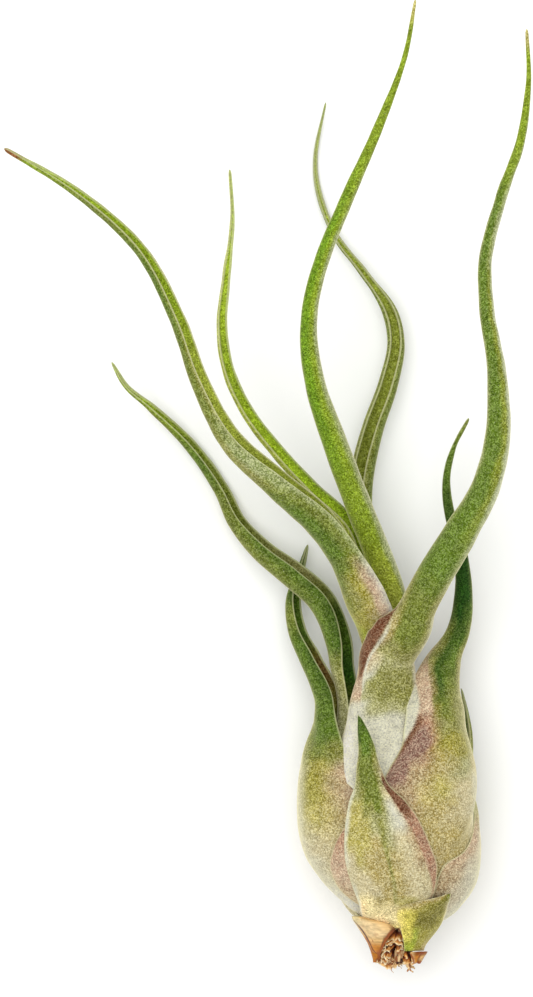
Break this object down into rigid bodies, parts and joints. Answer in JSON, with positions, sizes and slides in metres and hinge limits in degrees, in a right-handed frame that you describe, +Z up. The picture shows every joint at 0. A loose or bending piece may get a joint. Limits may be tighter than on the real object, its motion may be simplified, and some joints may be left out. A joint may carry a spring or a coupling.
{
  "type": "air plant",
  "caption": "Bulbous air plant lying on its back, with inflated overlapping sheaths, long wavy channelled leaves, a short stem and dry roots.",
  "frame": {"origin": "centre of the small flat spot under the bulb, on which the plant lies", "axes": "+Y from the roots to the leaf tips, +Z up from the surface it lies on"},
  "size_m": [0.1157, 0.2155, 0.0432],
  "materials": {
    "leaf_outer": "matt leaf with silvery scales",
    "leaf_inner": "smooth bright leaf with few scales",
    "bract": "yellow-green scale leaf",
    "dry_skin": "dry papery skin",
    "woody_stem": "rough dry wood"
  },
  "bodies": {
    "root": {"stem_and_roots": "woody_stem", "dry_skin": "dry_skin", "dry_skin_flap": "dry_skin", "bract_lower_right": "bract", "leaf_front_short": "leaf_outer", "leaf_back_short": "leaf_outer", "leaf_right_outer": "leaf_outer", "leaf_right_curved": "leaf_outer", "leaf_front_tall": "leaf_outer", "leaf_left_short": "leaf_outer", "leaf_left_low": "leaf_outer", "leaf_back_curved": "leaf_inner", "leaf_left_long": "leaf_outer", "leaf_centre_tall": "leaf_inner", "leaf_left_thin": "leaf_inner"}
  },
  "joints": []
}
